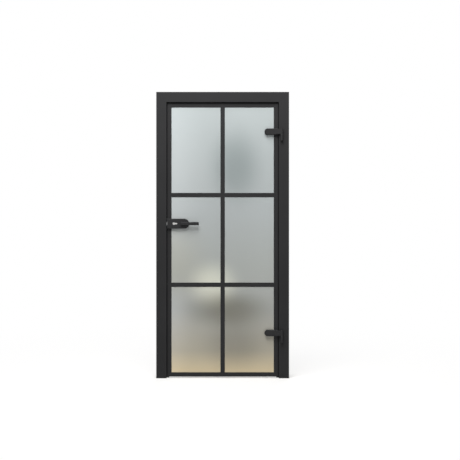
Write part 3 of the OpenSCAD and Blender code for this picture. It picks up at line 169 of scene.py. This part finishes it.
class DoorGlass(bpy.types.PropertyGroup):
    """The satin glass and the beads that bond its grid."""

    roughness: FloatProperty(
        name="Etch", description="Roughness of the etched faces",
        subtype="FACTOR", min=0, max=1, default=0.5)
    clearness: FloatProperty(
        name="Clearness", description="Share of the light that goes through the glass",
        subtype="FACTOR", min=0, max=1, default=0.25)
    edge_green: FloatVectorProperty(
        name="Edge", description="Colour of the polished edges",
        subtype="COLOR", size=3, min=0, max=1, default=(0.16, 0.30, 0.25))
    edge_depth: FloatProperty(
        name="Edge depth", description="How far in from its border the glass shows as edge",
        subtype="DISTANCE", unit="LENGTH", min=0.0, max=0.01, default=0.0012)
    bead_width: FloatProperty(
        name="Bead width", description="Width of a bond bead on the glass",
        subtype="DISTANCE", unit="LENGTH", min=0.0002, max=0.003, default=0.0009)
    bead_rise: FloatProperty(
        name="Bead rise", description="Height of a bond bead on the side of its bar",
        subtype="DISTANCE", unit="LENGTH", min=0.0002, max=0.0018, default=0.0012)
    bead_gap: FloatProperty(
        name="Bead gap", description="Gap between a bead's end and a fitting",
        subtype="DISTANCE", unit="LENGTH", min=0.0, max=0.005, default=0.0006)


class DoorStage(bpy.types.PropertyGroup):
    """Camera, lamps and sky."""

    camera_distance: FloatProperty(
        name="Camera distance", description="Distance of the camera from the casing face",
        subtype="DISTANCE", unit="LENGTH", min=1, max=20, default=5.0)
    camera_side: FloatProperty(
        name="Camera side", description="Place of the camera beside the door's middle",
        subtype="DISTANCE", unit="LENGTH", min=-2, max=2, default=0.0537)
    camera_height: FloatProperty(
        name="Camera height", description="Height of the camera above the floor",
        subtype="DISTANCE", unit="LENGTH", min=0, max=3, default=1.0826)
    view_width: FloatProperty(
        name="View width", description="Width that the picture covers at the casing face",
        subtype="DISTANCE", unit="LENGTH", min=1, max=10, default=3.358)
    key_power: FloatProperty(
        name="Key lamp", description="Power of the large lamp above the door's front",
        subtype="POWER", unit="POWER", min=0, max=2000, default=290)
    back_power: FloatProperty(
        name="Back lamp", description="Power of the large lamp behind the door",
        subtype="POWER", unit="POWER", min=0, max=2000, default=90)
    sky: FloatProperty(
        name="Sky", description="Strength of the even light from all around",
        min=0, max=2, default=0.28)


def feed(tree, socket, value):
    """Gives an input a number, a colour or another node's output."""
    if isinstance(value, bpy.types.NodeSocket):
        tree.links.new(value, socket)
    else:
        socket.default_value = value


def add(tree, kind, inputs=None, **fields):
    """Adds a shader node, sets its fields and feeds its inputs."""
    made = tree.nodes.new(kind)
    for field, value in fields.items():
        setattr(made, field, value)
    for socket, value in (inputs or {}).items():
        feed(tree, made.inputs[socket], value)
    return made


def work_out(tree, operation, first, second):
    """The result of a Math node on two values."""
    return add(tree, "ShaderNodeMath", {0: first, 1: second}, operation=operation).outputs[0]


def mix_colours(tree, share, first, second, blend="MIX"):
    """The colour that a Mix node makes of two colours by a share."""
    mixed = add(tree, "ShaderNodeMix", {MIX_SHARE: share}, data_type="RGBA", blend_type=blend)
    for socket, colour in zip(MIX_COLOURS, (first, second)):
        feed(tree, mixed.inputs[socket], colour)
    return mixed.outputs[MIX_COLOUR_RESULT]


def mix_shaders(tree, share, first, second):
    """The shader that goes over from the first to the second by a share."""
    return add(tree, "ShaderNodeMixShader", {0: share, 1: first, 2: second}).outputs[0]


def ramp(tree, factor, stops):
    """The colour of a ramp with the given (place, colour) stops."""
    made = add(tree, "ShaderNodeValToRGB", {"Fac": factor})
    elements = made.color_ramp.elements
    while len(elements) < len(stops):
        elements.new(0.5)
    for element, (place, colour) in zip(elements, stops):
        element.position = place
        element.color = (*colour, 1)
    return made.outputs["Color"]


def noise_span(tree, noise, mean, swing):
    """A value that swings about its mean as a noise goes from its low to its high."""
    span = add(tree, "ShaderNodeMapRange", {"Value": noise, "From Min": NOISE_LOW, "From Max": NOISE_HIGH,
                                            "To Min": mean - swing, "To Max": mean + swing})
    return span.outputs[0]


def blank(name):
    """A new material with a Principled shader; returns it with its tree, the shader and the
    Object coordinates."""
    material = bpy.data.materials.new(name)
    material.use_nodes = True
    tree = material.node_tree
    tree.nodes.clear()
    shader = add(tree, "ShaderNodeBsdfPrincipled")
    add(tree, "ShaderNodeOutputMaterial", {"Surface": shader.outputs[0]})
    place = add(tree, "ShaderNodeTexCoord").outputs["Object"]
    return material, tree, shader, place


def surface(name, colour, drift, rough, swing, grain, run, relief, metal=0.0, specular=0.5):
    """A coated or bare surface. A slow cloud noise takes its colour from one less the drift to one and
    the drift, times the given colour. A fine noise, drawn out by the run, swings its roughness about
    the mean and is its relief."""
    material, tree, shader, place = blank(name)
    cloud = add(tree, "ShaderNodeTexNoise", {"Vector": place, "Scale": CLOUD_SCALE,
                                             "Detail": CLOUD_DETAIL, "Roughness": CLOUD_ROUGHNESS})
    low = [min(1, c * (1 - drift)) for c in colour]
    high = [min(1, c * (1 + drift)) for c in colour]
    drifted = ramp(tree, cloud.outputs["Fac"], [(NOISE_LOW, low), (NOISE_HIGH, high)])
    drawn = add(tree, "ShaderNodeMapping", {"Vector": place, "Scale": run})
    fine = add(tree, "ShaderNodeTexNoise", {"Vector": drawn.outputs[0], "Scale": grain,
                                            "Detail": GRAIN_DETAIL}).outputs["Fac"]
    bump = add(tree, "ShaderNodeBump", {"Height": fine, "Strength": GRAIN_STRENGTH, "Distance": relief})
    feed(tree, shader.inputs["Base Color"], drifted)
    feed(tree, shader.inputs["Roughness"], noise_span(tree, fine, rough, swing))
    feed(tree, shader.inputs["Normal"], bump.outputs[0])
    feed(tree, shader.inputs["Metallic"], metal)
    feed(tree, shader.inputs["Specular IOR Level"], specular)
    return material


def dress(material, nodes):
    """Gives the named nodes this material alone."""
    for name in nodes:
        slots = NODES[name].material_slots
        if not slots:
            NODES[name].data.materials.append(material)
        for slot in slots:
            slot.material = material


def kept(name, colour, **values):
    """The surface of that name, made once."""
    return bpy.data.materials.get(name) or surface(name, colour, **values)


def steel(finish):
    """Bare steel with a fine drawn grain."""
    return kept("drawn_steel", finish.steel_grey, drift=0.06, rough=0.34, swing=0.07,
                grain=260.0, run=STEEL_GRAIN, relief=0.00003, metal=1.0)


def satin_nickel(finish):
    """Satin nickel of the lock cylinder, brushed across its face."""
    return kept("satin_nickel", finish.nickel, drift=0.05, rough=0.36, swing=0.06,
                grain=320.0, run=CYLINDER_GRAIN, relief=0.00002, metal=1.0)


def rubber(finish):
    """Dull black rubber."""
    return kept("seal_rubber", finish.rubber_black, drift=0.2, rough=0.75, swing=0.08,
                grain=900.0, run=EVEN_GRAIN, relief=0.00004, specular=0.3)


def powder_coat(finish):
    """Black powder coat with its fine even grain."""
    return kept("powder_coat", finish.fitting_black, drift=0.1, rough=0.42, swing=0.08,
                grain=1100.0, run=EVEN_GRAIN, relief=0.00012, specular=0.115)


def dark_steel(finish):
    """Blackened steel of the screws."""
    return kept("black_steel", finish.fitting_black, drift=0.15, rough=0.38, swing=0.08,
                grain=700.0, run=EVEN_GRAIN, relief=0.00002, metal=0.2)


def dark_plastic(finish):
    """Black moulded plastic."""
    return kept("black_plastic", finish.rubber_black, drift=0.15, rough=0.5, swing=0.05,
                grain=1100.0, run=EVEN_GRAIN, relief=0.00002)


def nylon(finish):
    """Pale nylon of bushes and sleeves."""
    return kept("pale_nylon", finish.nylon_white, drift=0.05, rough=0.45, swing=0.06,
                grain=500.0, run=EVEN_GRAIN, relief=0.00002)


class GLASSDOOR_OT_frame_lacquer(bpy.types.Operator):
    """Lacquers the linings and casings; the roller's marks run along each board"""

    bl_idname = "glassdoor.frame_lacquer"
    bl_label = "Frame lacquer"

    def execute(self, context):
        finish = context.scene.door_finish
        for name, run, nodes in (("frame_lacquer_upright", UPRIGHT_BOARD_GRAIN, FRAME_UPRIGHTS),
                                 ("frame_lacquer_head", LEVEL_BOARD_GRAIN, FRAME_HEADS)):
            lacquer = surface(name, finish.frame_black, drift=0.08, rough=finish.lacquer_roughness,
                              swing=0.1, grain=420.0, run=run, relief=0.00012, specular=0.09)
            dress(lacquer, nodes)
        return {"FINISHED"}


class GLASSDOOR_OT_seals(bpy.types.Operator):
    """Gives the frame's seals their rubber"""

    bl_idname = "glassdoor.seals"
    bl_label = "Seals"

    def execute(self, context):
        dress(rubber(context.scene.door_finish), SEALS)
        return {"FINISHED"}


class GLASSDOOR_OT_grid_bars(bpy.types.Operator):
    """Anodises the bars on the glass; the fine lines run along each bar"""

    bl_idname = "glassdoor.grid_bars"
    bl_label = "Grid bars"

    def execute(self, context):
        finish = context.scene.door_finish
        for name, run, nodes in (("bar_anodised_upright", UPRIGHT_BAR_GRAIN, UPRIGHT_BARS),
                                 ("bar_anodised_level", LEVEL_BAR_GRAIN, LEVEL_BARS)):
            anodised = surface(name, finish.bar_black, drift=0.08, rough=0.45, swing=0.1,
                               grain=900.0, run=run, relief=0.00006, specular=0.1)
            dress(anodised, nodes)
        return {"FINISHED"}


def paint_light_patch(tree, place, colour, middle, reach, tint):
    """Paints a patch of light (a tint above one) or of shade (a tint below one) by multiplying a colour by
    the tint: wholly at the patch's middle, and smoothly less out to its reach.
    """
    x, z = middle
    wide, high = reach
    spot = add(tree, "ShaderNodeMapping", {"Vector": place, "Scale": (1 / wide, 0, 1 / high),
                                           "Location": (-x / wide, 0, -z / high)})
    far = add(tree, "ShaderNodeVectorMath", {0: spot.outputs[0]}, operation="LENGTH")
    share = add(tree, "ShaderNodeMapRange", {"Value": far.outputs["Value"], "To Min": 1.0, "To Max": 0.0},
                interpolation_type="SMOOTHERSTEP")
    return mix_colours(tree, share.outputs[0], colour, (*tint, 1), "MULTIPLY")


def near_border(tree, place, depth):
    """One where the glass is nearer to its border than the depth, and nought elsewhere."""
    middle = (GLASS_LOW + GLASS_HIGH) / 2
    half = (GLASS_HIGH - GLASS_LOW) / 2
    from_middle = add(tree, "ShaderNodeVectorMath", {0: place, 1: middle}, operation="SUBTRACT")
    apart = add(tree, "ShaderNodeVectorMath", {0: from_middle.outputs[0]}, operation="ABSOLUTE")
    across = add(tree, "ShaderNodeSeparateXYZ", {0: apart.outputs[0]}).outputs
    beside = work_out(tree, "GREATER_THAN", across["X"], half.x - depth)
    above = work_out(tree, "GREATER_THAN", across["Z"], half.z - depth)
    return work_out(tree, "MAXIMUM", beside, above)


class GLASSDOOR_OT_satin_glass(bpy.types.Operator):
    """Etches the pane, gives it its own tint with painted light and shade of what is seen through it, and
    polishes its edges
    """

    bl_idname = "glassdoor.satin_glass"
    bl_label = "Satin glass"

    def execute(self, context):
        glass = context.scene.door_glass
        material, tree, shader, place = blank("satin_glass")
        height = add(tree, "ShaderNodeSeparateXYZ", {0: place}).outputs["Z"]
        share = work_out(tree, "DIVIDE", height, GLASS_HIGH.z)
        # The ramp gives the glass's own tint with painted light and shade by height; the patches add
        # painted light and shade of what is seen through the glass.
        colour = ramp(tree, share, [(z / GLASS_HIGH.z, tone) for z, tone in GLASS_TINT_AND_PAINTED_LIGHT])
        for middle, reach, tint in GLASS_PAINTED_LIGHT_PATCHES.values():
            colour = paint_light_patch(tree, place, colour, middle, reach, tint)
        edge = near_border(tree, place, glass.edge_depth)
        colour = mix_colours(tree, edge, colour, (*glass.edge_green, 1))
        frost = add(tree, "ShaderNodeTexNoise", {"Vector": place, "Scale": FROST_SCALE,
                                                 "Detail": FROST_DETAIL}).outputs["Fac"]
        etched = noise_span(tree, frost, glass.roughness, FROST_SWING)
        rough = add(tree, "ShaderNodeMix", {MIX_SHARE: edge, MIX_NUMBERS[0]: etched,
                                            MIX_NUMBERS[1]: POLISHED_ROUGHNESS})
        bump = add(tree, "ShaderNodeBump", {"Height": frost, "Strength": FROST_STRENGTH,
                                            "Distance": FROST_RELIEF})
        feed(tree, shader.inputs["Base Color"], colour)
        feed(tree, shader.inputs["Roughness"], rough.outputs[0])
        feed(tree, shader.inputs["Normal"], bump.outputs[0])
        feed(tree, shader.inputs["Transmission Weight"], glass.clearness)
        feed(tree, shader.inputs["IOR"], GLASS_IOR)
        dress(material, ["glass_pane"])
        return {"FINISHED"}


def pane_openings():
    """The six glass openings as (left, right, foot, top), from the boxes of the bars around them."""
    columns = ((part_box("border_bar_lock_side")[1].x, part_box("upright_bar")[0].x),
               (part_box("upright_bar")[1].x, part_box("border_bar_hinge_side")[0].x))
    rows = ((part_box("border_bar_bottom")[1].z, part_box("cross_bar_lower")[0].z),
            (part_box("cross_bar_lower")[1].z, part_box("cross_bar_upper")[0].z),
            (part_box("cross_bar_upper")[1].z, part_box("border_bar_top")[0].z))
    return [(*column, *row) for column in columns for row in rows]


def fitting_over(opening, fittings):
    """The fitting that reaches into an opening from one side, or None."""
    left, right, foot, top = opening
    for name in fittings:
        low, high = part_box(name)
        if low.x < right and high.x > left and low.z > foot and high.z < top:
            return name
    return None


def bead_route(opening, fitting, gap):
    """The route of a bead round an opening, as points (x, z), the way inward at each, and whether it
    closes. Where a fitting covers part of one upright side, the route starts above the fitting and
    ends below it."""
    left, right, foot, top = opening
    corners = {(-1, -1): (left, foot), (1, -1): (right, foot), (1, 1): (right, top), (-1, 1): (left, top)}
    if fitting is None:
        signs = list(corners)
        return np.array([corners[s] for s in signs]), -np.array(signs, float), True
    low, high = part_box(fitting)
    side = 1 if low.x > 0 else -1
    x = right if side > 0 else left
    signs = [(side, 1), (-side, 1), (-side, -1), (side, -1)]
    points = [(x, high.z + gap), *(corners[s] for s in signs), (x, low.z - gap)]
    ways = [(-side, 0), *((-a, -b) for a, b in signs), (-side, 0)]
    return np.array(points), np.array(ways, float), False


def bead_section(width, rise, steps=6):
    """The bead's section as (reach over the glass, rise from it): a hollow quarter round from the glass
    up to the bar, and the corner between them. Over a quarter turn the reach is the width times one less
    the sine, and the rise is the full rise times one less the cosine."""
    turn = np.linspace(0, math.pi / 2, steps)
    hollow = np.stack([width * (1 - np.sin(turn)), rise * (1 - np.cos(turn))], axis=1)
    return np.concatenate([hollow, [[0.0, 0.0]]])


def bead_surface(route, section, face_y, outward, first):
    """Carries the section along the route: each point is the route's point plus the reach along the way
    inward, and the rise lifts it off the glass face. Returns the points, and the faces with their points
    counted from the first."""
    points, ways, closed = route
    reach, rise = section.T
    flat = points[:, None, :] + ways[:, None, :] * reach[None, :, None]
    depth = np.broadcast_to(face_y + outward * rise, flat.shape[:2])
    verts = np.stack([flat[..., 0], depth, flat[..., 1]], axis=-1).reshape(-1, 3)
    along, around = len(points), len(section)
    i = np.arange(along if closed else along - 1)[:, None]
    j = np.arange(around)[None, :]
    ahead = (i + 1) % along
    beside = (j + 1) % around
    quads = np.stack([i * around + j, ahead * around + j, ahead * around + beside, i * around + beside],
                     axis=-1)
    faces = (quads.reshape(-1, 4) + first).tolist()
    if not closed:
        start = np.arange(around) + first
        end = start + (along - 1) * around
        faces += [start.tolist(), end.tolist()]
    return verts, faces


class GLASSDOOR_OT_bond_beads(bpy.types.Operator):
    """Runs a thin bond bead along the bars round each opening, on both faces, clear of the fittings"""

    bl_idname = "glassdoor.bond_beads"
    bl_label = "Bond beads"

    def execute(self, context):
        glass = context.scene.door_glass
        section = bead_section(glass.bead_width, glass.bead_rise)
        for side, face_y, outward, fittings in (("front", GLASS_LOW.y, -1, FRONT_FITTINGS),
                                                ("rear", GLASS_HIGH.y, 1, REAR_FITTINGS)):
            verts, faces = np.zeros((0, 3)), []
            for opening in pane_openings():
                route = bead_route(opening, fitting_over(opening, fittings), glass.bead_gap)
                more, ring = bead_surface(route, section, face_y, outward, len(verts))
                verts = np.concatenate([verts, more])
                faces += ring
            mesh = bpy.data.meshes.new("bond_beads_" + side)
            mesh.from_pydata(verts.tolist(), [], faces)
            form = bmesh.new()
            form.from_mesh(mesh)
            bmesh.ops.recalc_face_normals(form, faces=form.faces)
            form.to_mesh(mesh)
            form.free()
            beads = bpy.data.objects.new("bond_beads_" + side, mesh)
            context.scene.collection.objects.link(beads)
            mesh.materials.append(rubber(context.scene.door_finish))
            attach(beads, "leaf")
        return {"FINISHED"}


class GLASSDOOR_OT_hinges(bpy.types.Operator):
    """Coats the hinge clamps and knuckles, and finishes the pins, bushes, gaskets and screws in them"""

    bl_idname = "glassdoor.hinges"
    bl_label = "Hinges"

    def execute(self, context):
        finish = context.scene.door_finish
        dress(powder_coat(finish), HINGE_CASTINGS)
        dress(steel(finish), HINGE_STEEL)
        dress(nylon(finish), ["clamp_sleeves", "hinge_bushes"])
        dress(rubber(finish), ["clamp_gaskets"])
        dress(dark_steel(finish), ["clamp_screws"])
        dress(dark_plastic(finish), ["hinge_washers"])
        return {"FINISHED"}


class GLASSDOOR_OT_lock(bpy.types.Operator):
    """Coats the lock covers, and finishes the case, cylinder, bolts and strike"""

    bl_idname = "glassdoor.lock"
    bl_label = "Lock"

    def execute(self, context):
        finish = context.scene.door_finish
        dress(powder_coat(finish), LOCK_COVERS)
        dress(steel(finish), LOCK_STEEL)
        dress(satin_nickel(finish), CYLINDER)
        dress(rubber(finish), ["lock_gaskets"])
        dress(dark_steel(finish), ["lock_screws"])
        dress(dark_plastic(finish), ["lever_bushes", "strike_box"])
        return {"FINISHED"}


class GLASSDOOR_OT_levers(bpy.types.Operator):
    """Coats the two levers, and finishes the spindle and what turns on it"""

    bl_idname = "glassdoor.levers"
    bl_label = "Levers"

    def execute(self, context):
        finish = context.scene.door_finish
        dress(powder_coat(finish), ["lever_front", "lever_rear"])
        dress(steel(finish), ["spindle", "follower"])
        dress(dark_steel(finish), ["lever_grub_screws"])
        return {"FINISHED"}


def shown_white(tree):
    """One for rays that show the background itself: from the camera, off gloss and through glass."""
    path = add(tree, "ShaderNodeLightPath").outputs
    seen = work_out(tree, "MAXIMUM", path["Is Camera Ray"], path["Is Glossy Ray"])
    return work_out(tree, "MAXIMUM", seen, path["Is Transmission Ray"])


def floor_spot(tree, place, scale, share):
    """A share of light at the floor's middle that fades out to nought at the reach the scale gives."""
    span = add(tree, "ShaderNodeMapping", {"Vector": place, "Scale": scale})
    near = add(tree, "ShaderNodeTexGradient", {"Vector": span.outputs[0]}, gradient_type="QUADRATIC_SPHERE")
    return work_out(tree, "MULTIPLY", near.outputs["Fac"], share)


def floor_material():
    """White floor. It is partly lit near the door and mostly lit under the leaf, so that it takes a soft
    shadow; with distance it goes over to the plain white of the background. The light it throws back is
    greyer."""
    material = bpy.data.materials.new("studio_floor")
    material.use_nodes = True
    tree = material.node_tree
    tree.nodes.clear()
    place = add(tree, "ShaderNodeTexCoord").outputs["Object"]
    lit = work_out(tree, "ADD", floor_spot(tree, place, *FLOOR_ROUND_DOOR),
                   floor_spot(tree, place, *FLOOR_UNDER_LEAF))
    thrown = add(tree, "ShaderNodeBsdfDiffuse", {"Color": FLOOR_THROWN_BACK})
    pale = add(tree, "ShaderNodeBsdfDiffuse", {"Color": FLOOR_SHOWN})
    white = add(tree, "ShaderNodeEmission", {"Color": WHITE, "Strength": 1.0})
    faded = mix_shaders(tree, lit, white.outputs[0], pale.outputs[0])
    seen = mix_shaders(tree, shown_white(tree), thrown.outputs[0], faded)
    add(tree, "ShaderNodeOutputMaterial", {"Surface": seen})
    return material


def lay_floor(scene):
    """Lays the floor, which isn't part of the door."""
    half = FLOOR_HALF
    mesh = bpy.data.meshes.new("studio_floor")
    mesh.from_pydata([(-half, -half, 0), (half, -half, 0), (half, half, 0), (-half, half, 0)], [],
                     [(0, 1, 2, 3)])
    mesh.materials.append(floor_material())
    floor = bpy.data.objects.new("studio_floor", mesh)
    scene.collection.objects.link(floor)


def light_sky(scene, strength):
    """Makes a world that lights the door evenly at the given strength, and shows as plain white."""
    world = bpy.data.worlds.new("studio_world")
    world.use_nodes = True
    tree = world.node_tree
    tree.nodes.clear()
    light = add(tree, "ShaderNodeBackground", {"Color": WHITE, "Strength": strength})
    shown = add(tree, "ShaderNodeBackground", {"Color": WHITE, "Strength": 1.0})
    mixed = mix_shaders(tree, shown_white(tree), light.outputs[0], shown.outputs[0])
    add(tree, "ShaderNodeOutputWorld", {"Surface": mixed})
    scene.world = world


def hang_lamp(scene, name, place, power):
    """Hangs a large soft lamp at a place, turned to the door's middle, which the camera doesn't see."""
    data = bpy.data.lights.new(name, "AREA")
    data.shape = "RECTANGLE"
    data.size = LAMP_WIDTH
    data.size_y = LAMP_HEIGHT
    data.energy = power
    lamp = bpy.data.objects.new(name, data)
    scene.collection.objects.link(lamp)
    lamp.location = place
    lamp.rotation_mode = "QUATERNION"
    lamp.rotation_quaternion = (Vector(LAMP_TARGET) - Vector(place)).to_track_quat("-Z", "Y")
    lamp.visible_camera = False


def set_camera(scene, stage):
    """Sets a level camera before the door, whose lens covers the view's width at the casing face."""
    data = bpy.data.cameras.new("door_camera")
    data.sensor_width = SENSOR_WIDTH
    data.lens = SENSOR_WIDTH * stage.camera_distance / stage.view_width
    camera = bpy.data.objects.new("door_camera", data)
    scene.collection.objects.link(camera)
    camera.location = (stage.camera_side, CASING_FACE - stage.camera_distance, stage.camera_height)
    camera.rotation_euler = (math.pi / 2, 0, 0)
    scene.camera = camera


class GLASSDOOR_OT_stage(bpy.types.Operator):
    """Sets up the white floor and background, two large soft lamps and the camera"""

    bl_idname = "glassdoor.stage"
    bl_label = "Stage"

    def execute(self, context):
        scene = context.scene
        stage = scene.door_stage
        lay_floor(scene)
        light_sky(scene, stage.sky)
        hang_lamp(scene, "key_lamp", KEY_PLACE, stage.key_power)
        hang_lamp(scene, "back_lamp", BACK_PLACE, stage.back_power)
        set_camera(scene, stage)
        scene.view_settings.view_transform = "Standard"
        return {"FINISHED"}


PROPERTIES = {"door_finish": DoorFinish, "door_glass": DoorGlass, "door_stage": DoorStage}
OPERATORS = (GLASSDOOR_OT_frame_lacquer, GLASSDOOR_OT_seals, GLASSDOOR_OT_grid_bars,
             GLASSDOOR_OT_satin_glass, GLASSDOOR_OT_bond_beads, GLASSDOOR_OT_hinges,
             GLASSDOOR_OT_lock, GLASSDOOR_OT_levers, GLASSDOOR_OT_stage)


class GLASSDOOR_PT_looks(bpy.types.Panel):
    """The steps that dress the door, and the sizes and colours they use"""

    bl_idname = "GLASSDOOR_PT_looks"
    bl_label = "Glass door"
    bl_space_type = "VIEW_3D"
    bl_region_type = "UI"
    bl_category = "Glass door"

    def draw(self, context):
        for operator in OPERATORS:
            self.layout.operator(operator.bl_idname)
        for name, group in PROPERTIES.items():
            box = self.layout.box()
            for field in group.__annotations__:
                box.prop(getattr(context.scene, name), field)


def register():
    for name, group in PROPERTIES.items():
        bpy.utils.register_class(group)
        setattr(bpy.types.Scene, name, PointerProperty(type=group))
    for one in (*OPERATORS, GLASSDOOR_PT_looks):
        bpy.utils.register_class(one)


def unregister():
    for one in reversed((*OPERATORS, GLASSDOOR_PT_looks)):
        bpy.utils.unregister_class(one)
    for name, group in reversed(PROPERTIES.items()):
        delattr(bpy.types.Scene, name)
        bpy.utils.unregister_class(group)


def main():
    register()
    bpy.ops.glassdoor.frame_lacquer()
    bpy.ops.glassdoor.seals()
    bpy.ops.glassdoor.grid_bars()
    bpy.ops.glassdoor.satin_glass()
    bpy.ops.glassdoor.bond_beads()
    bpy.ops.glassdoor.hinges()
    bpy.ops.glassdoor.lock()
    bpy.ops.glassdoor.levers()
    bpy.ops.glassdoor.stage()


if __name__ == "__main__":
    main()
